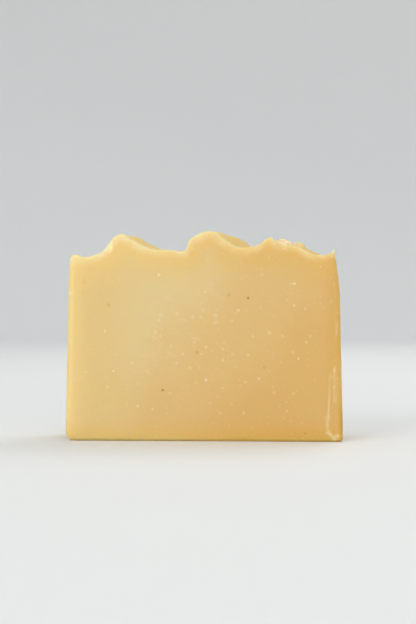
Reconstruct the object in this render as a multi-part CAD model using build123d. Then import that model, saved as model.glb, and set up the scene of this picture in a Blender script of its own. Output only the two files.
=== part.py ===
from build123d import *
import os

# Bar of handmade soap, sliced from a poured loaf.
#
# One solid. The bar stands on the face that lay in the bottom of the loaf mould, so
# its width runs along X, its thickness (the slice) along Y and its height along Z.
# The origin is at the middle of the footprint, on the surface that the bar stands
# on. The two big faces, at -Y and +Y, are the knife cuts. The two ends lay against
# the mould's walls, which lean in a little towards the top. The top was pushed into
# three leaning waves with a spoon while the soap was soft, and the crests of the
# waves run slantwise across the slice.

# ---------------------------------------------------------------- dimensions, mm
THICK = 25.0  # slice thickness, along Y
Y_FRONT = -THICK / 2
Y_BACK = THICK / 2

# Half widths of the bar at a few heights, as (z, x): the mould's walls lean in
# towards the top, and the right-hand corner slumped inwards a little.
LEFT_WALL = [(0.0, -44.7), (3.5, -44.75), (16.0, -44.5), (29.0, -44.25), (47.0, -43.8), (58.0, -43.25), (66.0, -42.7), (74.0, -42.0)]
RIGHT_WALL = [(0.0, 44.7), (3.5, 44.75), (16.0, 44.4), (29.0, 44.15), (42.0, 43.95), (49.0, 43.7), (54.0, 43.25), (60.0, 42.4), (66.0, 41.3), (74.0, 39.6)]

R_CORNER_LEFT = 3.0  # lower corner of the outline, mould radius, left
R_CORNER_RIGHT = 1.8  # lower corner of the outline, right
R_RIM = 1.6  # rounded edges round both cuts, up the ends and along the bottom

# The waves: the upper edge of the front cut, from left to right, as (x, z).
CREST = [
    (-52.0, 59.3),
    (-47.0, 59.6),
    (-44.0, 59.8),
    (-41.9, 59.95),
    (-40.0, 59.4),
    (-38.3, 59.1),
    (-36.4, 59.5),
    (-34.8, 60.0),
    (-33.5, 60.65),
    (-32.2, 62.0),
    (-30.6, 64.1),
    (-29.2, 65.5),
    (-27.8, 66.2),
    (-26.6, 66.6),
    (-25.2, 65.95),
    (-23.4, 64.7),
    (-21.2, 63.4),
    (-18.4, 62.25),
    (-15.2, 61.6),
    (-11.0, 61.5),
    (-8.7, 61.2),
    (-7.0, 61.1),
    (-5.8, 62.1),
    (-4.8, 64.0),
    (-3.4, 65.6),
    (-1.2, 66.9),
    (1.6, 67.55),
    (3.4, 67.2),
    (5.4, 65.6),
    (7.6, 63.9),
    (9.9, 62.6),
    (13.4, 62.1),
    (16.8, 62.65),
    (18.6, 63.7),
    (20.3, 64.95),
    (21.5, 65.4),
    (22.6, 64.7),
    (24.2, 63.5),
    (26.6, 62.8),
    (29.5, 62.4),
    (32.0, 61.4),
    (34.4, 60.25),
    (37.2, 59.7),
    (39.4, 59.85),
    (41.0, 60.6),
    (43.0, 61.6),
    (47.0, 62.4),
    (52.0, 62.8),
]

# How the waves go back through the slice: at each depth behind the front cut, how
# far each crest has moved to the right, and how much height each has lost. The
# first number of each group is the depth, then one value for each of the three waves.
SLANT = [
    (-2.0, -0.6, -0.7, -0.6),
    (0.0, 0.0, 0.0, 0.0),
    (4.0, 1.5, 1.8, 1.6),
    (8.0, 3.1, 3.8, 3.3),
    (12.5, 4.5, 5.5, 5.7),
    (18.0, 5.2, 7.9, 7.9),
    (25.0, 5.6, 9.7, 9.0),
    (27.0, 5.7, 10.0, 9.2),
]
DROP = [
    (-2.0, 0.0, 0.0, 0.0),
    (0.0, 0.0, 0.0, 0.0),
    (4.0, 0.15, 0.2, 0.4),
    (8.0, 0.25, 0.55, 0.3),
    (12.5, 0.35, 0.9, 0.3),
    (18.0, 1.0, 1.25, 0.6),
    (25.0, 2.0, 1.6, 1.1),
    (27.0, 2.1, 1.7, 1.2),
]
# Worn edge where the waves meet the cuts: (distance in from the cut, height lost).
WORN = [(-2.0, 2.6), (-0.6, 1.25), (0.0, 0.75), (0.4, 0.36), (0.9, 0.1), (1.6, 0.0)]
WAVE_X = (-26.6, 2.2, 21.5)  # where each wave's crest crosses the front cut
STEP = 1.0  # spacing, along X, of the points that the waves' surface is fitted through
BASE_Z = 61.2  # height that a wave sinks towards as it loses height


def smooth_line(points, step):
    """Heights every step along X, on a rounded line through the given points."""
    out = []
    x = points[0][0]
    while x <= points[-1][0] + 1e-6:
        i = max(k for k in range(len(points) - 1) if points[k][0] <= x + 1e-9)
        p0, p1, p2, p3 = points[max(0, i - 1)], points[i], points[i + 1], points[min(len(points) - 1, i + 2)]
        h = p2[0] - p1[0]
        m1 = h * (p2[1] - p0[1]) / (p2[0] - p0[0])
        m2 = h * (p3[1] - p1[1]) / (p3[0] - p1[0])
        t = (x - p1[0]) / h
        bend = (2 * t - 3) * t * t
        out.append((x, (bend + 1) * p1[1] - bend * p2[1] + t * (1 - t) * ((1 - t) * m1 - t * m2)))
        x += step
    return out


def between(rows, depth, column):
    """Value of a table's column at a depth."""
    for low, high in zip(rows, rows[1:]):
        if depth <= high[0] or high is rows[-1]:
            t = min(1.0, max(0.0, (depth - low[0]) / (high[0] - low[0])))
            return low[column] + (high[column] - low[column]) * t


def share(x, rows, depth):
    """A table's value at x, passing smoothly from one wave's column to the next and to nothing at the mould's walls."""
    knots = [(-43.5, 0.0)]
    knots += [(wave, between(rows, depth, i + 1)) for i, wave in enumerate(WAVE_X)]
    knots += [(43.0, 0.0)]
    if x <= knots[0][0] or x >= knots[-1][0]:
        return 0.0
    for (xa, va), (xb, vb) in zip(knots, knots[1:]):
        if x <= xb:
            t = (x - xa) / (xb - xa)
            t = t * t * (3 - 2 * t)
            return va + (vb - va) * t
    return 0.0


def top_point(x, z, depth):
    """A point of the waves' outline, carried back to a depth behind the front cut."""
    x_there = x + share(x, SLANT, depth)
    sink = share(x, DROP, depth)
    worn = between(WORN, min(depth, THICK - depth), 1)
    z_there = z - worn - sink * max(0.0, min(1.0, (z - BASE_Z) / 4.0))
    return Vector(x_there, Y_FRONT + depth, z_there)


# ------------------------------------------------------------------------- model
# Outline of the slice, taller than the bar: flat bottom, leaning walls.
left = [Vector(x, 0, z) for z, x in LEFT_WALL]
right = [Vector(x, 0, z) for z, x in RIGHT_WALL]
with BuildSketch(Plane.XZ.offset(-Y_BACK)) as outline:
    with BuildLine():
        Line((left[0].X, 0), (right[0].X, 0))
        Spline([(p.X, p.Z) for p in right])
        Line((right[-1].X, right[-1].Z), (left[-1].X, left[-1].Z))
        Spline([(p.X, p.Z) for p in reversed(left)])
    make_face()
    corners = outline.vertices().sort_by(Axis.Y)[:2].sort_by(Axis.X)
    fillet(corners[0], R_CORNER_LEFT)
    corners = [v for v in outline.vertices() if v.Y < 0.01 and v.X > 44]
    fillet(corners, R_CORNER_RIGHT)

slab = extrude(outline.sketch, THICK)
print("slab box", slab.bounding_box().min, slab.bounding_box().max)

# Rounded edges round both cut faces: up the ends, then along the bottom.
def rim(shape, keep):
    cuts = [f for f in shape.faces() if abs(f.normal_at().Y) > 0.99 and f.area > 3000]
    return [e for f in cuts for e in f.edges() if keep(e)]


slab = fillet(rim(slab, lambda e: e.center().Z < 70), R_RIM)

# The waves: one smooth surface through the slanting crest lines.
near = [w[0] for w in WORN]
depths = near + [3.0, 5.0, 7.5, 10.0, 12.5, 15.0, 17.5, 20.0, 22.0] + [THICK - d for d in reversed(near)]
rows = [[top_point(x, z, d) for x, z in smooth_line(CREST, STEP)] for d in depths]
upper = Face.make_surface_from_array_of_points(rows, tol=0.02, min_deg=3, max_deg=5)
above = Solid.extrude(upper, Vector(0, 0, 30))
bar = slab - above
solid = bar.solids().sort_by(SortBy.VOLUME)[-1]
print("bar valid", solid.is_valid, "volume", solid.volume, "solids", len(bar.solids()))

box = solid.bounding_box()
print("box", box.min, box.max, "mass at 1.0 g/cm3:", round(solid.volume / 1000, 1), "g")
os.makedirs("parts", exist_ok=True)
solid.label = "soap_bar"
export_step(solid, "parts/soap_bar.step")
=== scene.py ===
"""Looks for the bar of handmade soap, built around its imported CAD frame.

The CAD node is replaced by one closed mesh with the same outline and waves, and with
what the CAD solid leaves out: edges worn to different radii, spoon marks and crumbs on
the top, the drag of the cutting wire, a nick and a scraped corner. Lengths in the mesh
code are millimetres, turned to metres when the mesh is made.
"""

import bpy
import math
import numpy as np
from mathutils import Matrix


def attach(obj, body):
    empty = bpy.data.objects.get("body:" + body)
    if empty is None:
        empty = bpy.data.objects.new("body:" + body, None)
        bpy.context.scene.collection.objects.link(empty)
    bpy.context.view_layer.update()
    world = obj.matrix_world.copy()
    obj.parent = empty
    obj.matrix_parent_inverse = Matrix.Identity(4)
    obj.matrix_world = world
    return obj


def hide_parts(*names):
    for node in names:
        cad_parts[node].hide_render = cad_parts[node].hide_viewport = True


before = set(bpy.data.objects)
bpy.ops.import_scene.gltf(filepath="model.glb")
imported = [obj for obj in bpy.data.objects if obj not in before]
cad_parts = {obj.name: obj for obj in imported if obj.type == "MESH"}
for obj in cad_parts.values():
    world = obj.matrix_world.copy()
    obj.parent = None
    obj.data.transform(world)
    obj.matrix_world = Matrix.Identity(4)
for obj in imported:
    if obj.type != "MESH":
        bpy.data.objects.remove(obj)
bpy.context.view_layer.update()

# ------------------------------------------------------------------ shape, mm
THICK = 25.0
Y0 = -THICK / 2

LEFT_WALL = [(0.0, -44.7), (3.5, -44.75), (16.0, -44.5), (29.0, -44.25), (47.0, -43.8), (55.0, -43.45), (58.6, -43.2)]
RIGHT_WALL = [(0.0, 44.8), (3.5, 44.85), (16.0, 44.55), (29.0, 44.15), (42.0, 43.95), (49.0, 43.65), (54.0, 43.1), (57.5, 42.6), (59.2, 42.25)]

# The upper edge of the front cut, left to right, as (x, z).
CREST = [
    (-43.2, 58.2), (-42.75, 59.3), (-41.9, 59.95), (-41.1, 60.0), (-40.0, 59.5), (-38.3, 59.1),
    (-36.4, 59.5), (-34.8, 60.0), (-33.6, 60.6), (-32.6, 61.35), (-31.4, 62.65), (-30.25, 63.95),
    (-29.5, 64.85), (-28.9, 65.5), (-28.1, 66.0), (-27.4, 66.35), (-26.6, 66.65), (-25.9, 66.35), (-25.0, 65.75),
    (-23.4, 64.7), (-21.7, 63.7), (-20.1, 62.85), (-18.4, 62.25), (-16.8, 61.85), (-15.2, 61.55),
    (-13.5, 61.45), (-11.8, 61.5), (-10.3, 61.45), (-8.7, 61.15), (-7.4, 60.85), (-6.3, 61.2),
    (-5.5, 61.85), (-5.15, 62.75), (-4.93, 63.8), (-4.37, 64.88), (-3.25, 65.75), (-1.8, 66.65),
    (-0.1, 67.25), (1.6, 67.55), (2.9, 67.45), (4.0, 66.85), (5.4, 65.6), (6.8, 64.5),
    (8.3, 63.4), (9.9, 62.55), (11.5, 62.1), (13.4, 62.1), (15.0, 62.25), (16.8, 62.65),
    (18.4, 63.45), (19.6, 64.45), (20.8, 65.2), (21.5, 65.5), (22.1, 65.15), (22.7, 64.45), (23.4, 63.8),
    (24.7, 63.15), (26.6, 62.75), (28.5, 62.6), (30.5, 62.15), (32.0, 61.4), (33.5, 60.6),
    (35.3, 59.85), (37.2, 59.7), (39.1, 59.75), (40.3, 60.1), (41.0, 60.6), (41.5, 61.15), (41.8, 61.4), (42.1, 60.7),
]

# Depth behind the front cut, then each wave's crest: how far right it has moved.
SLANT = [(0.0, 0.0, 0.0, 0.0), (0.9, 0.0, 0.0, 0.0), (4.0, 1.6, 1.9, 1.7), (8.0, 3.2, 3.8, 3.3), (12.5, 4.5, 5.5, 5.8), (18.0, 5.2, 7.9, 8.1), (25.0, 5.6, 9.7, 9.2)]
# ... and how much height it has lost.
DROP = [(0.0, 0.0, 0.0, 0.0), (0.9, 0.0, 0.0, 0.0), (2.2, 0.05, 0.08, 0.4), (4.0, 0.15, 0.2, 0.9), (6.0, 0.2, 0.35, 0.6), (8.5, 0.25, 0.6, 0.15), (12.5, 0.35, 1.0, 0.1), (18.0, 1.0, 1.45, 0.2), (25.0, 2.0, 1.7, 0.5)]
# The third wave's crest broke up as the spoon left it: its profile well behind the cut.
TORN = [(23.4, 64.4), (24.4, 65.4), (25.4, 65.6), (26.4, 65.3), (27.6, 64.75), (28.6, 64.3), (29.6, 64.0), (30.6, 64.2), (31.6, 64.15), (32.3, 63.85), (33.0, 62.9), (33.8, 62.1), (35.2, 61.4), (37.2, 60.8), (39.4, 60.35)]
WAVE_X = (-26.6, 2.2, 21.5)
BASE_Z = 61.2

NX, NZ, NROUND, NMID = 252, 108, 7, 37  # mesh divisions: width, height, each rounding, between them


def smoothstep(a, b, x):
    t = np.clip((np.asarray(x, float) - a) / (b - a), 0.0, 1.0)
    return t * t * (3 - 2 * t)


def curve(points, step=0.05):
    """A smooth line through points (centripetal Catmull-Rom), as closely spaced points."""
    p = np.array(points, float)
    p = np.vstack([2 * p[0] - p[1], p, 2 * p[-1] - p[-2]])
    out = []
    for a, b, c, d in zip(p, p[1:], p[2:], p[3:]):
        t = [0.0]
        for q, r in ((a, b), (b, c), (c, d)):
            t.append(t[-1] + max(1e-6, np.linalg.norm(r - q)) ** 0.5)
        n = max(2, int(np.linalg.norm(c - b) / step))
        s = np.linspace(t[1], t[2], n, endpoint=False)[:, None]
        a1 = (t[1] - s) / (t[1] - t[0]) * a + (s - t[0]) / (t[1] - t[0]) * b
        a2 = (t[2] - s) / (t[2] - t[1]) * b + (s - t[1]) / (t[2] - t[1]) * c
        a3 = (t[3] - s) / (t[3] - t[2]) * c + (s - t[2]) / (t[3] - t[2]) * d
        b1 = (t[2] - s) / (t[2] - t[0]) * a1 + (s - t[0]) / (t[2] - t[0]) * a2
        b2 = (t[3] - s) / (t[3] - t[1]) * a2 + (s - t[1]) / (t[3] - t[1]) * a3
        out.append((t[2] - s) / (t[2] - t[1]) * b1 + (s - t[1]) / (t[2] - t[1]) * b2)
    out.append(p[-2][None])
    return np.vstack(out)


def spaced(line, n, density=None):
    """n + 1 points along a line. density(s), with s from 0 to 1, says how close they are."""
    length = np.r_[0, np.cumsum(np.linalg.norm(np.diff(line, axis=0), axis=1))]
    s = length / length[-1]
    w = np.ones_like(s) if density is None else density(s)
    total = np.r_[0, np.cumsum((w[1:] + w[:-1]) / 2 * np.diff(s))]
    at = np.interp(np.linspace(0, total[-1], n + 1), total, s)
    return np.stack([np.interp(at, s, line[:, k]) for k in (0, 1)], 1)


# --------------------------------------------------------------------- noise
def _hash(ix, iy, iz, seed):
    h = (ix * 374761393 + iy * 668265263 + iz * 2147483647 + seed * 1274126177) & 0xFFFFFFFF
    h = ((h ^ (h >> 13)) * 1274126177) & 0xFFFFFFFF
    h = (h ^ (h >> 16)) & 0xFFFFFFFF
    h = (h * 2246822519) & 0xFFFFFFFF
    return h ^ (h >> 15)


def noise(p, scale, seed=0):
    """Gradient noise, about -1 to 1, whose bumps are about scale mm across (a number or one per axis)."""
    q = np.asarray(p, float) / np.asarray(scale, float)
    i = np.floor(q).astype(np.int64)
    f = q - i
    u = f * f * f * (f * (f * 6 - 15) + 10)
    total = 0.0
    for dx in (0, 1):
        for dy in (0, 1):
            for dz in (0, 1):
                h = _hash(i[:, 0] + dx, i[:, 1] + dy, i[:, 2] + dz, seed)
                g = np.stack([(h & 1023) / 511.5 - 1, ((h >> 10) & 1023) / 511.5 - 1, ((h >> 20) & 1023) / 511.5 - 1], 1)
                w = (u[:, 0] if dx else 1 - u[:, 0]) * (u[:, 1] if dy else 1 - u[:, 1]) * (u[:, 2] if dz else 1 - u[:, 2])
                total = total + w * (g[:, 0] * (f[:, 0] - dx) + g[:, 1] * (f[:, 1] - dy) + g[:, 2] * (f[:, 2] - dz))
    return total * 1.25


def fractal(p, scale, octaves, seed=0, gain=0.5):
    total, amp = 0.0, 1.0
    for k in range(octaves):
        total = total + amp * noise(p, np.asarray(scale, float) / 2.0**k, seed + 17 * k)
        amp *= gain
    return total


def cells(p, scale, seed=0):
    """Distance to the nearest of a scatter of points about scale mm apart, in units of scale."""
    q = np.asarray(p, float) / scale
    i = np.floor(q).astype(np.int64)
    best = np.full(len(q), 9.0)
    for dx in (-1, 0, 1):
        for dy in (-1, 0, 1):
            for dz in (-1, 0, 1):
                h = _hash(i[:, 0] + dx, i[:, 1] + dy, i[:, 2] + dz, seed)
                at = np.stack([(h & 1023) / 1023.0, ((h >> 10) & 1023) / 1023.0, ((h >> 20) & 1023) / 1023.0], 1)
                best = np.minimum(best, ((i + (dx, dy, dz) + at - q) ** 2).sum(1))
    return np.sqrt(best)


# ------------------------------------------------------------ the outline loop
def table(rows, depth, column):
    r = np.array(rows)
    return np.interp(depth, r[:, 0], r[:, column])


def share(x, rows, depth):
    """A table's value at x: each wave's own at its crest, blending to nothing at the walls. x and depth are arrays."""
    knots = np.array([-43.3, *WAVE_X, 41.5])
    values = np.stack([np.zeros_like(depth), *(table(rows, depth, i + 1) for i in range(3)), np.zeros_like(depth)], -1)
    k = np.clip(np.searchsorted(knots, x) - 1, 0, 3)
    t = np.clip((x - knots[k]) / (knots[k + 1] - knots[k]), 0, 1)
    t = t * t * (3 - 2 * t)
    va = np.take_along_axis(values, k[..., None], -1)[..., 0]
    vb = np.take_along_axis(values, (k + 1)[..., None], -1)[..., 0]
    return va + (vb - va) * t


def corner(cx, cz, r, a0, a1):
    a = np.radians(np.linspace(a0, a1, 30))
    return np.stack([cx + r * np.cos(a), cz + r * np.sin(a)], 1)


def ends(s):
    return 1 + 1.1 * (np.exp(-s / 0.03) + np.exp(-(1 - s) / 0.03))


R_LEFT, R_RIGHT = 3.0, 1.4  # lower corners of the outline
left_line = curve([(x, z) for z, x in LEFT_WALL if z >= R_LEFT])
right_line = curve([(x, z) for z, x in RIGHT_WALL if z >= R_RIGHT])
half_left = corner(-44.75 + R_LEFT, R_LEFT, R_LEFT, 180, 270)
half_right = corner(44.75 - R_RIGHT, R_RIGHT, R_RIGHT, 270, 360)
bottom = np.vstack([half_left[15:], half_right[:15]])
right_side = np.vstack([half_right[15:], right_line, [[42.1, 60.7]]])
left_side = np.vstack([left_line[::-1], half_left[:16]])  # downwards
crest_line = curve(CREST)[::-1]  # right to left

loop0 = np.vstack([
    spaced(bottom, NX)[:-1],
    spaced(right_side, NZ, ends)[:-1],
    spaced(crest_line, NX)[:-1],
    spaced(left_side, NZ, ends)[:-1],
])
N = len(loop0)
is_top = np.zeros(N, bool)
is_top[NX + NZ : 2 * NX + NZ + 1] = True


def around(values):
    """A number for each loop point, from (position in the loop, value) pairs. The loop's sides are 0-1 bottom, 1-2 right, 2-3 top (right to left), 3-4 left."""
    at = np.concatenate([np.linspace(0, 1, NX, endpoint=False), np.linspace(1, 2, NZ, endpoint=False), np.linspace(2, 3, NX, endpoint=False), np.linspace(3, 4, NZ, endpoint=False)])
    v = np.array(values)
    return np.interp(at, v[:, 0], v[:, 1])


# Worn radius of the rim round each cut.
R_FRONT = around([(0, 1.9), (0.04, 1.35), (0.5, 1.2), (0.97, 1.1), (1.02, 1.1), (1.12, 1.6), (1.5, 1.9), (1.85, 1.9), (1.97, 1.0), (2.0, 0.45), (2.02, 0.45), (2.05, 0.8), (2.2, 0.85), (2.4, 0.9), (2.5, 1.0), (2.58, 1.0), (2.7, 0.9), (2.78, 0.9), (2.81, 1.0), (2.87, 1.6), (2.91, 1.3), (2.95, 1.0), (3.0, 1.1), (3.06, 1.8), (3.3, 2.3), (3.8, 2.3), (4.0, 1.9)])
R_BACK = around([(0, 1.5), (0.05, 1.1), (0.95, 1.1), (1.0, 1.3), (1.2, 1.5), (1.9, 1.5), (2.0, 0.8), (2.05, 0.8), (2.5, 0.9), (2.95, 0.8), (3.0, 1.0), (3.1, 1.5), (3.9, 1.6), (4.0, 1.5)])


def smooth_ring(v, rounds):
    for _ in range(rounds):
        v = v * 0.5 + (np.roll(v, 1, 0) + np.roll(v, -1, 0)) * 0.25
    return v


TOP_RIM = [(-43.2, 1.2), (-42.0, 0.95), (-38.0, 0.7), (-34.5, 0.8), (-32.0, 0.9), (-30.5, 0.9), (-29.2, 0.9), (-27.0, 0.8), (-22.0, 0.65), (-8.0, 0.65), (-5.5, 0.8), (-3.5, 1.3), (-0.5, 1.2), (3.0, 0.8), (8.0, 0.6), (19.0, 0.6), (22.0, 0.55), (33.0, 0.55), (40.0, 0.5), (41.5, 0.35), (42.1, 0.35)]
R_FRONT[is_top] = np.interp(loop0[is_top, 0], [r[0] for r in TOP_RIM], [r[1] for r in TOP_RIM])
R_FRONT, R_BACK = smooth_ring(R_FRONT, 12), smooth_ring(R_BACK, 30)
_on = np.stack([loop0[:, 0], np.zeros(N), loop0[:, 1]], 1)
R_FRONT = R_FRONT * (1 + 0.22 * noise(_on, 3.1, 61) + 0.10 * noise(_on, 1.3, 62))
R_BACK = R_BACK * (1 + 0.22 * noise(_on, 3.3, 63))


def ring(depth, inset):
    """The loop at a depth behind the front cut, drawn in by inset. depth and inset have one value per loop point."""
    x, z = loop0[:, 0].copy(), loop0[:, 1].copy()
    slid = share(x, SLANT, depth)
    sink = share(x, DROP, depth)
    wave = np.clip((z - BASE_Z) / 4.0, 0, 1)
    p = np.stack([x, depth, z], 1)
    # Long soft differences between the front and the back, where the spoon rode up and down.
    ride = noise(np.stack([x * 1.0, depth * 1.0, z * 0], 1), (9.0, 8.0, 50.0), 5) * 0.5 * smoothstep(0.5, 6.0, depth)
    upper = np.where(is_top, 1.0, smoothstep(54.5, 60.0, z))  # the top, and the walls' upper ends, which follow it
    lift = (-sink * wave + ride) * upper
    # The rim that clung to the mould's walls, uneven along the slice.
    wall = np.exp(-((x - 41.9) ** 2) / 0.9) * upper
    lift = lift + wall * (-0.75 * smoothstep(0.8, 3.0, depth) + 0.5 * noise(p, (40.0, 2.6, 40.0), 9) * smoothstep(1.0, 4.0, depth))
    wall = np.exp(-((x + 42.1) ** 2) / 1.2) * upper
    lift = lift + wall * (0.45 * noise(p, (40.0, 3.2, 40.0), 11) * smoothstep(0.8, 4.0, depth))
    x = np.where(is_top, x + slid, x)
    z = z + lift
    broken_up = is_top * smoothstep(5.0, 11.0, depth) * smoothstep(22.3, 23.9, x) * smoothstep(39.6, 37.0, x)
    z = z + (np.interp(x, [t[0] for t in TORN], [t[1] for t in TORN]) - 0.7 * smoothstep(19.0, 25.0, depth) - z) * broken_up
    loop = np.stack([x, z], 1)
    t = np.roll(loop, -1, 0) - np.roll(loop, 1, 0)
    n = np.stack([t[:, 1], -t[:, 0]], 1)
    n = smooth_ring(n / np.maximum(1e-9, np.linalg.norm(n, axis=1))[:, None], 3)
    n /= np.maximum(1e-9, np.linalg.norm(n, axis=1))[:, None]
    drawn = loop - n * inset[:, None]
    extra = int(round(6 * float(inset.max()) / 2.3))
    soft = smooth_ring(drawn, extra) if extra else drawn
    drawn = drawn + (soft - drawn) * np.clip(inset / 0.6, 0, 1)[:, None]
    return np.stack([drawn[:, 0], Y0 + depth, drawn[:, 1]], 1)


rings = []
for k in range(NROUND + 1):
    a = math.pi / 2 * k / NROUND
    rings.append(ring(R_FRONT * (1 - math.cos(a)), R_FRONT * (1 - math.sin(a))))
for k in range(1, NMID):
    t = k / NMID
    rings.append(ring(R_FRONT + (THICK - R_BACK - R_FRONT) * t, np.zeros(N)))
for k in range(NROUND, -1, -1):
    a = math.pi / 2 * k / NROUND
    rings.append(ring(THICK - R_BACK * (1 - math.cos(a)), R_BACK * (1 - math.sin(a))))
rings = np.array(rings)
K = len(rings)


def patch(edge):
    """A flat grid that fills a ring, (NX + 1) by (NZ + 1); the loop below evens it out where squares fold."""
    g = np.zeros((NX + 1, NZ + 1, 3))
    b = edge[: NX + 1]
    r = edge[NX : NX + NZ + 1]
    t = edge[NX + NZ : 2 * NX + NZ + 1][::-1]
    l = np.vstack([edge[2 * NX + NZ :], edge[:1]])[::-1]
    u = np.linspace(0, 1, NX + 1)[:, None, None]
    v = np.linspace(0, 1, NZ + 1)[None, :, None]
    # Squares near the outline stay as narrow as the ring's own, through the sides' spacing.
    lv = np.r_[0, np.cumsum(np.linalg.norm(np.diff(l, axis=0), axis=1))]
    v = (lv / lv[-1])[None, :, None]
    g = (1 - v) * b[:, None] + v * t[:, None] + (1 - u) * l[None] + u * r[None]
    g -= (1 - u) * (1 - v) * b[0] + u * (1 - v) * b[-1] + (1 - u) * v * t[0] + u * v * t[-1]
    g[:, 0], g[:, -1], g[0], g[-1] = b, t, l, r
    return g


front, back = patch(rings[0]), patch(rings[-1])


def fold_count(g):
    a = g[1:, :-1] - g[:-1, :-1]
    b = g[:-1, 1:] - g[:-1, :-1]
    return int((a[..., 0] * b[..., 2] - a[..., 2] * b[..., 0] <= 0).sum())


for g in (front, back):
    for _ in range(60):
        if not fold_count(g):
            break
        g[1:-1, 1:-1] = g[1:-1, 1:-1] * 0.4 + 0.15 * (g[2:, 1:-1] + g[:-2, 1:-1] + g[1:-1, 2:] + g[1:-1, :-2])
print("folds", fold_count(front), fold_count(back))

# ------------------------------------------------------------ one closed mesh
verts = [rings.reshape(-1, 3)]
ring_id = np.arange(K * N).reshape(K, N)


def grid_ids(edge_ids, start):
    ids = np.full((NX + 1, NZ + 1), -1, int)
    ids[:, 0] = edge_ids[: NX + 1]
    ids[-1, :] = edge_ids[NX : NX + NZ + 1]
    ids[:, -1] = edge_ids[NX + NZ : 2 * NX + NZ + 1][::-1]
    ids[0, :] = np.r_[edge_ids[2 * NX + NZ :], edge_ids[:1]][::-1]
    ids[1:-1, 1:-1] = start + np.arange((NX - 1) * (NZ - 1)).reshape(NX - 1, NZ - 1)
    return ids


start = K * N
front_id = grid_ids(ring_id[0], start)
verts.append(front[1:-1, 1:-1].reshape(-1, 3))
start += (NX - 1) * (NZ - 1)
back_id = grid_ids(ring_id[-1], start)
verts.append(back[1:-1, 1:-1].reshape(-1, 3))
P = np.vstack(verts)


def quads(ids):
    return np.stack([ids[:-1, :-1], ids[1:, :-1], ids[1:, 1:], ids[:-1, 1:]], -1).reshape(-1, 4)


wrapped = np.hstack([ring_id, ring_id[:, :1]])
F = np.vstack([quads(wrapped), quads(front_id), quads(back_id)[:, ::-1]])


def normals(P):
    a, b, c, d = (P[F[:, k]] for k in range(4))
    fn = np.cross(c - a, d - b)
    n = np.zeros_like(P)
    for k in range(4):
        np.add.at(n, F[:, k], fn)
    return n / np.maximum(1e-12, np.linalg.norm(n, axis=1))[:, None]


# -------------------------------------------------------------- worn surface
n = normals(P)
X, Y, Z = P.T
cut = smoothstep(0.6, 0.95, np.abs(n[:, 1]))  # 1 on both cut faces
front_side = smoothstep(0.5, 0.9, -n[:, 1])
on_top = smoothstep(0.15, 0.6, n[:, 2]) * smoothstep(56, 59, Z)
topmost = smoothstep(57.0, 60.0, Z) * (1 - cut)
low = smoothstep(1.6, 0.4, Z)  # the flat base, which stays flat


def line_distance(points, x, z):
    """Distance from each (x, z) to a line of points, and how far along it the nearest point is."""
    p = np.array(points, float)
    best = np.full(len(x), 1e9)
    along = np.zeros(len(x))
    length = 0.0
    for a, b in zip(p, p[1:]):
        ab = b - a
        t = np.clip(((x - a[0]) * ab[0] + (z - a[1]) * ab[1]) / (ab @ ab), 0, 1)
        d = np.hypot(x - a[0] - t * ab[0], z - a[1] - t * ab[1])
        near = d < best
        best[near] = d[near]
        along[near] = length + t[near] * math.sqrt(ab @ ab)
        length += math.sqrt(ab @ ab)
    return best, along


move = np.zeros(len(P))
move += 0.10 * noise(P, 17.0, 1) * (1 - low)
move += 0.045 * noise(P, 6.5, 2) * (1 - low)
# Cut faces: faint drag of the wire, long ripples that rise a little to the right.
ca, sa = math.cos(math.radians(20)), math.sin(math.radians(20))
along = np.stack([X * ca + Z * sa, Y, -X * sa + Z * ca], 1)
move += cut * (0.028 * noise(along, (16.0, 60.0, 2.2), 21) + 0.014 * noise(along, (7.0, 60.0, 0.9), 22)) * (1 - low)
# Top: spoon marks along each crest, then a skin of small lumps.
slid = share(np.clip(X, -43, 41), SLANT, np.clip(Y - Y0, 0, THICK))
swept = np.stack([X - slid, Y, Z * 0], 1)
marks = 0.16 * noise(swept, (1.9, 26.0, 9.0), 31) + 0.09 * noise(swept, (0.9, 12.0, 9.0), 32)
lumps = 0.11 * noise(P, 2.1, 33) + 0.06 * noise(P, 1.0, 34)
behind = smoothstep(0.6, 3.6, Y - Y0)
move += topmost * (marks + lumps) * (0.3 + 0.7 * behind)
# The third wave tore as the spoon left it, and its rear crest crumbled.
torn = np.exp(-(((X - 22.9 - 7.2 * smoothstep(1.0, 14.0, Y - Y0)) / 3.0) ** 2)) * smoothstep(1.2, 4.0, Y - Y0) * smoothstep(24.9, 22.0, Y - Y0) * topmost
crumbs = np.zeros(len(P))
some = torn > 0.01
warped = P[some] + 0.35 * np.stack([noise(P[some], 1.1, 45), noise(P[some], 1.1, 46), noise(P[some], 1.1, 47)], 1)
crumbs[some] = np.clip(0.70 - cells(warped, 2.3, 48), 0, 1) * 1.0 + 0.16 * np.clip(0.55 - cells(warped, 1.1, 49), 0, 1)
move += torn * (-0.30 + 1.0 * crumbs + 0.25 * noise(P, 3.4, 41))
# Smaller torn patches behind the other crests and by the walls.
patchy = smoothstep(0.12, 0.5, noise(P, 7.0, 43)) * topmost * smoothstep(2.0, 5.0, Y - Y0)
move += patchy * 0.28 * fractal(P, 1.5, 2, 44)
P = P + n * move[:, None]

# Nick on the left edge, and a few shallow dents along the rims.
def dent(P, n, at, size, depth):
    d2 = (((P - np.array(at)) / np.array(size)) ** 2).sum(1)
    return P - n * (depth * np.exp(-d2))[:, None]


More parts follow.
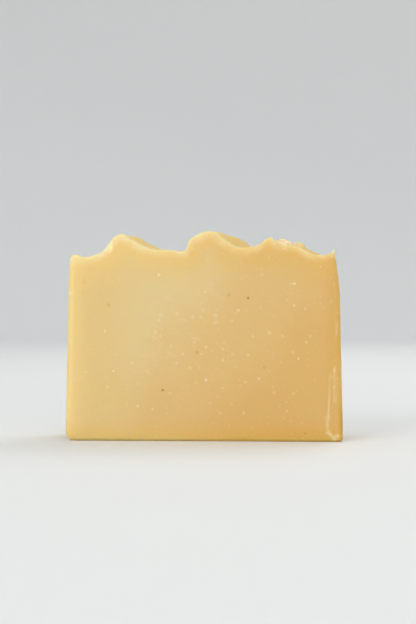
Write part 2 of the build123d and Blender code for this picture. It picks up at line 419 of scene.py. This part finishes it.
P = dent(P, n, (-43.6, -11.8, 47.5), (1.5, 1.2, 0.35), 0.16)
P = dent(P, n, (-20.0, -12.4, 0.9), (2.2, 1.2, 0.8), 0.22)
P = dent(P, n, (12.0, -12.4, 0.8), (3.2, 1.2, 0.7), 0.18)
P = dent(P, n, (-44.4, 6.0, 20.0), (1.2, 2.0, 2.6), 0.25)
P = dent(P, n, (44.0, 12.0, 31.0), (1.3, 1.3, 2.0), 0.35)
P = dent(P, n, (30.0, 12.3, 1.0), (2.6, 1.2, 0.9), 0.25)

# The flank of the first wave was smeared back from the cut, up to an upright line.
FLANK_X = -29.1
away = np.clip(FLANK_X - P[:, 0] + 0.12 * noise(P, (50.0, 50.0, 1.6), 71), 0, 4.0)
smeared = smoothstep(60.2, 62.6, P[:, 2] + 0.22 * away) * smoothstep(-36.0, -33.0, P[:, 0]) * smoothstep(-8.0, -11.2, P[:, 1])
P[:, 1] += 0.45 * away * smeared
flank_highlight = smeared * smoothstep(0.0, 0.35, away)

# Scraped corner, lower right of the front: a shaved strip with a curled lip along its inner side.
LIP = [(40.75, 21.7), (40.5, 18.2), (40.3, 13.6), (40.2, 10.2), (40.0, 7.4), (39.8, 5.7), (39.75, 4.5), (39.95, 3.5), (40.35, 2.7), (40.85, 2.0), (41.4, 1.4), (42.0, 0.9)]
INNER = [(41.95, 22.9), (41.85, 18.2), (41.8, 14.7), (42.1, 13.0)]
X, Y, Z = P.T
facing = smoothstep(-9.5, -11.0, Y)
lip_x = np.interp(Z, [p[1] for p in LIP][::-1], [p[0] for p in LIP][::-1])
inside = smoothstep(0.0, 0.6, X - lip_x) * smoothstep(24.5, 21.0, Z) * smoothstep(0.8, 2.2, Z) * facing
push = -0.26 * inside * (1 + 0.5 * noise(P, (2.0, 30.0, 5.0), 51))
lip_d, lip_s = line_distance(LIP, X + 0.16 * noise(P, (40, 40, 2.3), 54), Z)
broken = np.clip(0.75 + 1.3 * noise(P, (30.0, 30.0, 2.2), 53), 0.1, 1.5)
width = 0.34 + 0.10 * noise(P, (30.0, 30.0, 2.6), 52) + 0.16 * smoothstep(8, 3, Z)
push += 0.13 * np.exp(-((lip_d / width) ** 2)) * facing * broken
in_d, in_s = line_distance(INNER, X + 0.1 * noise(P, (40, 40, 2.0), 55), Z)
push += 0.09 * np.exp(-((in_d / 0.30) ** 2)) * facing * broken
P = P + n * push[:, None]
P = dent(P, n, (42.0, -11.6, 23.4), (0.5, 1.0, 0.7), 0.28)
P = dent(P, n, (42.8, -11.3, 1.9), (0.8, 1.2, 0.6), -0.25)
P = dent(P, n, (42.1, -11.9, 0.7), (0.6, 0.9, 0.4), -0.15)
P = dent(P, n, (44.1, -10.6, 2.8), (0.6, 1.2, 0.6), 0.35)
# Thin shaving left on the right edge, and the flick at the upper right corner.
sliver, _ = line_distance([(42.6, 33.8), (42.7, 36.3), (42.7, 38.5)], P[:, 0], P[:, 2])
P = P + n * (0.12 * np.exp(-((sliver / 0.28) ** 2)) * facing)[:, None]
P[:, 2] = np.maximum(P[:, 2], 0.0)
base = P[:, 2] < 0.25
P[base & (n[:, 2] < -0.9), 2] = 0.0

# Fields of colour that follow the outline, kept on the mesh.
outline = rings[0][:, [0, 2]]
# How deep each point lies under the top's outline, the nearest way.
top_points = outline[NX + NZ : 2 * NX + NZ + 1][::2]
top_deep = np.full(len(P), 1e9)
for s in range(0, len(P), 4000):
    q = P[s : s + 4000, [0, 2]]
    d = (q[:, None, 0] - top_points[None, :, 0]) ** 2 + (q[:, None, 1] - top_points[None, :, 1]) ** 2
    top_deep[s : s + 4000] = np.sqrt(d.min(1))
foot_end = smoothstep(7.5, 3.5, P[:, 2])
shaved = inside * smoothstep(43.8, 42.6, X) * (0.05 + 0.06 * smoothstep(11.0, 14.0, Z))
lip_wide = 0.36 + 0.20 * smoothstep(10.0, 6.5, Z)
pale = np.clip((0.30 + 0.30 * foot_end) * np.exp(-((lip_d / lip_wide) ** 2)) * broken + 0.24 * np.exp(-((in_d / 0.30) ** 2)) * broken + 0.35 * np.exp(-((sliver / 0.28) ** 2)) + shaved, 0, 1) * facing
pale += 0.45 * np.exp(-((((P - np.array([41.95, -12.2, 23.2])) / np.array([0.45, 1.3, 0.8])) ** 2).sum(1)))
pale += 0.35 * np.exp(-((((P - np.array([42.1, -12.0, 0.8])) / np.array([0.6, 1.3, 0.45])) ** 2).sum(1)))
pale += 0.8 * np.exp(-((((P - np.array([42.8, -11.6, 1.9])) / np.array([0.8, 1.3, 0.5])) ** 2).sum(1)))
# Painted highlights: on the smeared flank of the first wave, and on the left shoulder of the second wave.
pale += 0.8 * flank_highlight
pale += 0.35 * np.exp(-((((P - np.array([-2.4, -12.3, 66.0])) / np.array([3.0, 1.6, 1.1])) ** 2).sum(1)))
tip = np.exp(-(((P[:, 0] - 41.7) / 0.7) ** 2 + ((P[:, 2] - 61.2) / 0.7) ** 2 + ((P[:, 1] + 12.0) / 2.5) ** 2))
pale = np.clip(pale + 0.9 * tip + 0.7 * np.exp(-((((P - np.array([-43.4, -11.6, 47.6])) / np.array([1.3, 1.3, 0.4])) ** 2).sum(1))), 0, 1)
crumb_pale = np.clip(torn * (0.5 + 0.7 * smoothstep(0.05, 0.4, crumbs)), 0, 1)
# Slopes of the waves that lean away to the right, behind the cut: the mask for the painted shade there.
lee_shade = topmost * smoothstep(0.05, 0.45, n[:, 0]) * smoothstep(0.8, 2.5, Y - Y0) * (1 - crumb_pale) * smoothstep(40.0, 37.0, X)

mesh = bpy.data.meshes.new("soap_body")
mesh.vertices.add(len(P))
mesh.vertices.foreach_set("co", (P * 0.001).astype(np.float32).ravel())
mesh.loops.add(4 * len(F))
mesh.polygons.add(len(F))
mesh.loops.foreach_set("vertex_index", F.astype(np.int32).ravel())
mesh.polygons.foreach_set("loop_start", np.arange(0, 4 * len(F), 4, dtype=np.int32))
mesh.update(calc_edges=True)
mesh.validate()
mesh.polygons.foreach_set("use_smooth", np.ones(len(mesh.polygons), bool))
for name, values in (("top_deep", top_deep), ("pale", pale), ("crumb", crumb_pale), ("lee_shade", lee_shade)):
    layer = mesh.attributes.new(name, "FLOAT", "POINT")
    layer.data.foreach_set("value", values.astype(np.float32))
soap = bpy.data.objects.new("soap_body", mesh)
bpy.context.scene.collection.objects.link(soap)
print("soap triangles", 2 * len(F), "lowest", P.min(0), "highest", P.max(0))


# ------------------------------------------------------------------ material
def srgb(r, g, b):
    def lin(c):
        c /= 255.0
        return c / 12.92 if c <= 0.04045 else ((c + 0.055) / 1.055) ** 2.4

    return (lin(r), lin(g), lin(b), 1.0)


class Nodes:
    def __init__(self, name):
        self.mat = bpy.data.materials.new(name)
        self.mat.use_nodes = True
        self.tree = self.mat.node_tree
        self.tree.nodes.clear()

    def add(self, kind, **settings):
        node = self.tree.nodes.new("ShaderNode" + kind)
        for key, value in settings.items():
            setattr(node, key, value)
        return node

    def put(self, socket, value):
        if isinstance(value, bpy.types.NodeSocket):
            self.tree.links.new(value, socket)
        else:
            socket.default_value = value

    def math(self, op, a, b=0.0, clamp=False):
        node = self.add("Math", operation=op, use_clamp=clamp)
        self.put(node.inputs[0], a)
        if op not in ("SQRT", "ABSOLUTE", "SINE"):
            self.put(node.inputs[1], b)
        return node.outputs[0]

    def mix(self, f, a, b, blend="MIX"):
        node = self.add("Mix", data_type="RGBA", blend_type=blend)
        self.put(node.inputs[0], f)
        self.put(node.inputs[6], a)
        self.put(node.inputs[7], b)
        return node.outputs[2]

    def span(self, value, a, b, lo=0.0, hi=1.0, smooth=True):
        node = self.add("MapRange", interpolation_type="SMOOTHSTEP" if smooth else "LINEAR")
        for i, v in enumerate((value, a, b, lo, hi)):
            self.put(node.inputs[i], v)
        return node.outputs[0]

    def noise(self, vector, scale, detail=2.0, rough=0.5):
        node = self.add("TexNoise")
        self.put(node.inputs["Vector"], vector)
        self.put(node.inputs["Scale"], scale)
        self.put(node.inputs["Detail"], detail)
        self.put(node.inputs["Roughness"], rough)
        return node.outputs["Fac"]

    def attribute(self, name):
        return self.add("Attribute", attribute_name=name).outputs["Fac"]


m = Nodes("soap_wax")
where = m.add("TexCoord").outputs["Object"]
scaled = m.add("VectorMath", operation="SCALE")
m.put(scaled.inputs[0], where)
scaled.inputs["Scale"].default_value = 1000.0
mm = scaled.outputs[0]  # object coordinates in millimetres
parts = m.add("SeparateXYZ")
m.put(parts.inputs[0], mm)
px, py, pz = parts.outputs
deep = m.attribute("top_deep")

wob = m.noise(mm, 0.055, 3.0, 0.55)
wob2 = m.noise(mm, 0.16, 3.0, 0.6)
leftright = m.span(px, -34.0, 34.0)
# Core: paler to the left of the middle, warmer to the right and towards the bottom; partly the soap's own tone, partly
# painted shade away from the key light on the left and painted warm bounced light towards the base.
side = m.math("ADD", m.math("MULTIPLY", px, 0.0125), m.math("MULTIPLY", m.math("SUBTRACT", 32.0, pz), 0.010))
side = m.math("ADD", side, m.math("MULTIPLY", m.math("SUBTRACT", wob, 0.5), 0.35))
colour = m.mix(m.span(side, -0.34, 0.08), srgb(224, 201, 147), srgb(222, 189, 126))
colour = m.mix(m.span(side, 0.06, 0.52), colour, srgb(219, 180, 109))
colour = m.mix(m.span(px, -16.0, -34.0, 0.0, 0.8), colour, srgb(225, 197, 134))
# Yellower under the top's outline, fading into the core: partly the soap's own tone, partly a painted glow of light
# scattered in through the top.
band = m.math("ADD", deep, m.math("MULTIPLY", m.math("SUBTRACT", wob2, 0.5), 5.0))
colour = m.mix(m.span(band, 13.0, 0.5, 0.0, 0.85), colour, m.mix(leftright, srgb(231, 203, 131), srgb(221, 184, 104)))
# Up both ends: painted light on the left end, facing the key light, and painted shade in deeper gold on the right end.
colour = m.mix(m.span(m.math("ADD", px, m.math("MULTIPLY", m.math("SUBTRACT", wob2, 0.5), 3.0)), -35.5, -43.5, 0.0, 0.6), colour, srgb(234, 210, 143))
colour = m.mix(m.span(px, 37.5, 43.0, 0.0, 0.75), colour, srgb(211, 172, 90))
# Deeper and warmer along the foot: painted shade and painted warm bounced light.
foot_shade = m.math("ADD", pz, m.math("MULTIPLY", m.math("SUBTRACT", wob2, 0.5), 3.0))
colour = m.mix(m.span(foot_shade, 8.0, 0.0, 0.0, 0.8), colour, m.mix(leftright, srgb(228, 190, 114), srgb(222, 173, 78)))
# Painted shade: darker gold at the lower right corner, away from the key light.
corner_right_shade = m.math("MULTIPLY", m.span(px, 42.9, 44.5), m.span(pz, 22.0, 5.0, 0.0, 0.9))
colour = m.mix(corner_right_shade, colour, srgb(191, 149, 64))
# Painted shade: deeper gold on the wave slopes that lean away to the right, away from the key light.
colour = m.mix(m.math("MULTIPLY", m.attribute("lee_shade"), 0.7), colour, srgb(229, 189, 94))
# Cream on the rims of the top, partly a pale skin and partly a painted highlight where the rounded rims catch the
# light; then cream on crumbs, and pale on fresh scrapes and on painted highlights.
rim_skin_highlight = m.span(m.noise(mm, 0.35, 3.0, 0.6), 0.35, 0.65, 0.2, 0.6)
rim_skin_highlight = m.math("MULTIPLY", rim_skin_highlight, m.span(m.math("ABSOLUTE", py), 8.0, 11.5, 0.2, 1.0))
colour = m.mix(m.math("MULTIPLY", m.span(deep, 2.3, 0.4), rim_skin_highlight), colour, m.mix(leftright, srgb(234, 219, 179), srgb(229, 209, 163)))
colour = m.mix(m.math("MULTIPLY", m.attribute("crumb"), 0.85), colour, srgb(242, 219, 170))
colour = m.mix(m.attribute("pale"), colour, srgb(245, 228, 184))

# Faint pale drag marks inside the cut faces.
turned = m.add("VectorRotate", rotation_type="Y_AXIS")
m.put(turned.inputs["Vector"], mm)
turned.inputs["Angle"].default_value = math.radians(-24)
stretched = m.add("VectorMath", operation="MULTIPLY")
m.put(stretched.inputs[0], turned.outputs[0])
stretched.inputs[1].default_value = (0.16, 0.3, 0.75)
streak = m.span(m.noise(stretched.outputs[0], 1.0, 4.0, 0.62), 0.54, 0.72)
near = m.add("VectorMath", operation="DISTANCE")
m.put(near.inputs[0], mm)
near.inputs[1].default_value = (-8.0, -12.5, 36.0)
streak = m.math("MULTIPLY", streak, m.span(near.outputs["Value"], 26.0, 6.0))
streak = m.math("MULTIPLY", streak, m.span(deep, 6.0, 14.0))
colour = m.mix(m.math("MULTIPLY", streak, 0.16), colour, srgb(240, 224, 184))


def flecks(scale, chance, small, large, weak, strong):
    """Scattered roundish flecks: how much of each point is fleck. Sizes are radii in mm."""
    dots = m.add("TexVoronoi", feature="F1", voronoi_dimensions="3D")
    bent = m.add("VectorMath", operation="ADD")
    m.put(bent.inputs[0], mm)
    push = m.add("TexNoise")
    m.put(push.inputs["Vector"], mm)
    push.inputs["Scale"].default_value = 2.2
    m.put(bent.inputs[1], push.outputs["Color"])
    m.put(dots.inputs["Vector"], bent.outputs[0])
    dots.inputs["Scale"].default_value = scale
    pick = m.add("SeparateColor")
    m.put(pick.inputs[0], dots.outputs["Color"])
    radius = m.span(pick.outputs[0], 1.0 - chance, 1.0, small, large, smooth=False)
    radius = m.math("MULTIPLY", radius, m.math("GREATER_THAN", pick.outputs[0], 1.0 - chance))
    away = m.math("MULTIPLY", dots.outputs["Distance"], 1.0 / scale)
    inside = m.span(m.math("SUBTRACT", away, radius), 0.14, -0.10)
    return m.math("MULTIPLY", inside, m.span(pick.outputs[1], 0.0, 1.0, weak, strong, smooth=False))


def spots(places):
    """Single flecks on the front cut, from (x, z, radius, strength)."""
    flat = m.add("VectorMath", operation="MULTIPLY")
    m.put(flat.inputs[0], mm)
    flat.inputs[1].default_value = (1.0, 0.0, 1.0)
    total = 0.0
    for x, z, radius, strength in places:
        gap = m.add("VectorMath", operation="DISTANCE")
        m.put(gap.inputs[0], flat.outputs[0])
        gap.inputs[1].default_value = (x, 0.0, z)
        one = m.span(gap.outputs["Value"], radius * 1.35, radius * 0.45, 0.0, strength)
        total = m.math("MAXIMUM", total, one)
    return m.math("MULTIPLY", total, m.span(py, -11.2, -11.8))


FLECK = srgb(244, 228, 192)
more = m.span(m.math("SUBTRACT", px, m.math("MULTIPLY", pz, 0.7)), -70.0, -5.0, 0.45, 1.0)
colour = m.mix(m.math("MULTIPLY", flecks(0.55, 0.75, 0.13, 0.33, 0.10, 0.39), more), colour, FLECK)
colour = m.mix(m.math("MULTIPLY", flecks(0.30, 0.60, 0.22, 0.52, 0.10, 0.34), more), colour, FLECK)
PALE_SPOTS = [
    (-14.3, 53.4, 0.47, 0.72), (29.2, 50.6, 0.43, 0.72), (28.5, 50.6, 0.34, 0.47), (27.9, 50.55, 0.25, 0.30),
    (0.9, 30.2, 0.62, 0.34), (0.9, 19.7, 0.54, 0.55), (-28.9, 22.5, 0.40, 0.59), (-21.1, 11.3, 0.47, 0.55),
    (13.0, 9.1, 0.47, 0.42), (13.6, 19.0, 0.40, 0.34), (33.0, 31.9, 0.40, 0.42), (30.5, 26.6, 0.45, 0.42),
    (-31.7, 35.3, 0.45, 0.38), (0.7, 48.0, 0.45, 0.42), (29.1, 43.6, 0.47, 0.34), (11.3, 42.0, 0.56, 0.38),
    (-13.5, 40.6, 0.80, 0.20), (-8.4, 40.9, 0.70, 0.24), (-3.4, 39.9, 0.70, 0.20), (-0.1, 42.0, 0.70, 0.18),
    (3.9, 40.5, 0.80, 0.24), (4.0, 38.2, 0.60, 0.20), (-15.4, 35.1, 0.70, 0.26), (-13.8, 33.8, 0.50, 0.24),
    (-22.9, 25.1, 0.55, 0.24), (-17.9, 22.4, 0.60, 0.22), (-6.5, 28.0, 0.50, 0.28), (-4.2, 23.6, 0.55, 0.26),
    (-2.8, 31.8, 0.50, 0.26), (-8.6, 25.1, 0.50, 0.22), (21.2, 34.9, 0.65, 0.26), (15.9, 33.8, 0.50, 0.24),
    (25.4, 33.8, 0.45, 0.26), (34.3, 33.8, 0.50, 0.26), (28.7, 28.6, 0.60, 0.22), (14.4, 27.8, 0.55, 0.22),
    (17.9, 20.1, 0.60, 0.28), (28.9, 15.4, 0.50, 0.26), (5.5, 9.1, 0.55, 0.22),
    (-37.8, 22.2, 0.40, 0.30), (-30.9, 17.5, 0.45, 0.30), (-16.3, 10.3, 0.40, 0.42), (6.3, 29.6, 0.50, 0.30),
    (6.3, 26.1, 0.47, 0.34), (-10.3, 30.7, 0.43, 0.30), (-14.2, 38.9, 0.50, 0.30), (26.8, 9.9, 0.43, 0.30),
]
colour = m.mix(spots(PALE_SPOTS), colour, srgb(243, 228, 195))
colour = m.mix(spots([(14.4, 46.0, 0.48, 0.74), (-13.0, 16.4, 0.46, 0.78)]), colour, srgb(181, 119, 4))
colour = m.mix(spots([(8.2, 47.0, 0.62, 0.22), (-2.0, 28.5, 0.55, 0.28), (-30.5, 43.8, 0.60, 0.22), (19.6, 23.8, 0.60, 0.20), (32.7, 2.7, 0.45, 0.30)]), colour, srgb(160, 118, 60))
colour = m.mix(spots([(-38.4, 51.3, 0.9, 0.22), (-38.6, 47.9, 0.7, 0.16), (-3.8, 60.4, 0.9, 0.25)]), colour, srgb(232, 170, 92))
# A rare dark herb speck elsewhere in the soap.
colour = m.mix(m.math("MULTIPLY", flecks(0.062, 0.5, 0.16, 0.30, 0.4, 0.9), m.span(py, -11.0, -9.0)), colour, srgb(150, 100, 30))

shader = m.add("BsdfPrincipled")
m.put(shader.inputs["Base Color"], colour)
shader.inputs["Subsurface Weight"].default_value = 1.0
shader.inputs["Subsurface Radius"].default_value = (1.0, 0.62, 0.28)
shader.inputs["Subsurface Scale"].default_value = 0.006
shader.inputs["IOR"].default_value = 1.45
m.put(shader.inputs["Specular IOR Level"], m.span(m.attribute("lee_shade"), 0.0, 1.0, 0.5, 0.2))
rough = m.span(m.noise(mm, 0.5, 4.0, 0.6), 0.3, 0.7, 0.42, 0.58)
m.put(shader.inputs["Roughness"], rough)
bump_a = m.noise(mm, 1.6, 4.0, 0.6)
bump = m.add("Bump")
bump.inputs["Strength"].default_value = 0.12
bump.inputs["Distance"].default_value = 0.0004
m.put(bump.inputs["Height"], bump_a)
m.put(shader.inputs["Normal"], bump.outputs[0])
out = m.add("OutputMaterial")
m.put(out.inputs["Surface"], shader.outputs[0])
mesh.materials.append(m.mat)

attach(soap, "root")
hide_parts("soap_bar")

# --------------------------------------------------------------------- stage
def bowl(radius=1.3, curve_r=0.7, wall=1.6, around_n=128):
    """A pale floor that turns up smoothly into a wall all round."""
    profile = [(0.0, 0.0)] + [(r, 0.0) for r in np.linspace(0.1, radius, 10)]
    profile += [(radius + curve_r * math.sin(a), curve_r * (1 - math.cos(a))) for a in np.linspace(0.05, math.pi / 2, 24)]
    profile += [(radius + curve_r, curve_r + wall * t) for t in (0.33, 0.66, 1.0)]
    v, f = [(0.0, 0.0, 0.0)], []
    for r, z in profile[1:]:
        v += [(r * math.cos(2 * math.pi * i / around_n), r * math.sin(2 * math.pi * i / around_n), z) for i in range(around_n)]
    f += [(0, 1 + i, 1 + (i + 1) % around_n) for i in range(around_n)]
    for j in range(len(profile) - 2):
        a, b = 1 + j * around_n, 1 + (j + 1) * around_n
        f += [(a + i, b + i, b + (i + 1) % around_n, a + (i + 1) % around_n) for i in range(around_n)]
    me = bpy.data.meshes.new("studio_floor")
    me.from_pydata(v, [], f)
    me.polygons.foreach_set("use_smooth", np.ones(len(me.polygons), bool))
    ob = bpy.data.objects.new("studio_floor", me)
    bpy.context.scene.collection.objects.link(ob)
    return ob


floor = bowl()
fm = bpy.data.materials.new("floor_pale")
fm.use_nodes = True
fb = fm.node_tree.nodes["Principled BSDF"]
fb.inputs["Base Color"].default_value = (0.87, 0.87, 0.86, 1)
fb.inputs["Roughness"].default_value = 0.75
fb.inputs["Specular IOR Level"].default_value = 0.2
floor.data.materials.append(fm)

world = bpy.data.worlds.new("studio")
bpy.context.scene.world = world
world.use_nodes = True
world.node_tree.nodes["Background"].inputs[0].default_value = (0.93, 0.97, 1.0, 1)
world.node_tree.nodes["Background"].inputs[1].default_value = 0.78


def area(name, at, look, size, power, colour=(1, 1, 1), spread=180):
    light = bpy.data.lights.new(name, "AREA")
    light.shape = "RECTANGLE"
    light.size, light.size_y = size
    light.energy = power
    light.color = colour
    light.spread = math.radians(spread)  # keeps each light off the floor beside it
    ob = bpy.data.objects.new(name, light)
    bpy.context.scene.collection.objects.link(ob)
    from mathutils import Vector

    ob.location = at
    ob.rotation_euler = (Vector(look) - Vector(at)).to_track_quat("-Z", "Y").to_euler()
    ob.visible_camera = False
    return ob


aim = (0.0, 0.0, 0.035)
area("key", (-0.88, -1.05, 0.52), aim, (1.0, 1.0), 2.36, (1.0, 0.99, 0.97), 95)
area("top", (0.45, 0.6, 1.0), aim, (0.9, 0.7), 3.6, (1.0, 0.99, 0.98))
area("fill", (0.5, -1.2, 0.36), aim, (0.9, 0.7), 1.08, (1.0, 0.98, 0.95), 95)

# -------------------------------------------------------------------- camera
YAW = math.radians(2.7)
DIST = 0.3908
cam = bpy.data.cameras.new("camera")
cam.lens = 70.3
cam.sensor_width = 36.0
cam.sensor_fit = "AUTO"
cam.clip_start, cam.clip_end = 0.01, 20.0
eye = bpy.data.objects.new("camera", cam)
bpy.context.scene.collection.objects.link(eye)
right = (math.cos(YAW), math.sin(YAW))
ahead = (-math.sin(YAW), math.cos(YAW))
eye.location = (0.00155 * right[0] - DIST * ahead[0], -0.0125 + 0.00155 * right[1] - DIST * ahead[1], 0.0415)
eye.rotation_euler = (math.pi / 2, 0.0, YAW)
bpy.context.scene.camera = eye
bpy.context.scene.view_settings.view_transform = "Standard"
